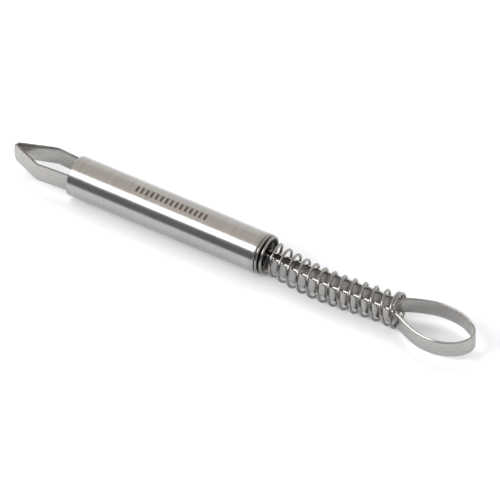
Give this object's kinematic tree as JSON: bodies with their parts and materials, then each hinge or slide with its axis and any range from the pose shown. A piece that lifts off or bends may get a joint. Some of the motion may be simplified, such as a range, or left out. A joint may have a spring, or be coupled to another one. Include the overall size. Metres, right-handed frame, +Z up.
{
  "type": "self-closing tube tweezer",
  "caption": "Steel tube tweezer: a folded spring strip with finger loop passes through a coil spring and a sliding barrel that squeezes its pointed jaws shut.",
  "frame": {"origin": "middle of the bounding box on the table plane, z = 0 under the lying tool", "axes": "+X is the long axis, from the jaws towards the finger loop; +Z is up from the table, along the width of the strip; +Y is across, away from the near jaw"},
  "size_m": [0.0998, 0.0098, 0.008],
  "materials": {
    "barrel_tube": "stainless tube, fine turned brushing, etched tick pattern",
    "coil_spring": "drawn stainless spring wire, semi-bright",
    "loop_strip": "satin rolled spring-steel strip, polished edges",
    "near_jaw_arm": "satin rolled spring-steel strip, lengthwise grain",
    "far_jaw_arm": "satin rolled spring-steel strip, lengthwise grain"
  },
  "bodies": {
    "strip": {"loop_strip": "loop_strip"},
    "spring": {"coil_spring": "coil_spring"},
    "barrel": {"barrel_tube": "barrel_tube"},
    "near_jaw": {"near_jaw_arm": "near_jaw_arm"},
    "far_jaw": {"far_jaw_arm": "far_jaw_arm"}
  },
  "joints": [
    {"name": "barrel_slide", "type": "slide", "parent": "strip", "child": "spring", "axis": [1, 0, 0], "range_m": [0, 0.009], "stiffness_N_per_m": 360, "springref_m": -0.0025, "deforming": ["coil_spring"]},
    {"name": "barrel_spin", "type": "hinge", "parent": "spring", "child": "barrel", "pos_m": [-0.01667, -0.00017, 0.00399], "axis": [1, 0, 0], "continuous": true},
    {"name": "near_jaw_flex", "type": "hinge", "parent": "strip", "child": "near_jaw", "pos_m": [-0.00767, -0.00043, 0.00374], "axis": [-0.0088, 0, 1], "range_deg": [0, 1.85]},
    {"name": "far_jaw_flex", "type": "hinge", "parent": "strip", "child": "far_jaw", "pos_m": [-0.00767, 0.00009, 0.00374], "axis": [-0.0088, 0, 1], "range_deg": [-1.85, 0]}
  ],
  "couplings": [
    {"joint": "near_jaw_flex", "follows": "barrel_slide", "rad_per_m": 3.5},
    {"joint": "far_jaw_flex", "follows": "barrel_slide", "rad_per_m": -3.5}
  ]
}
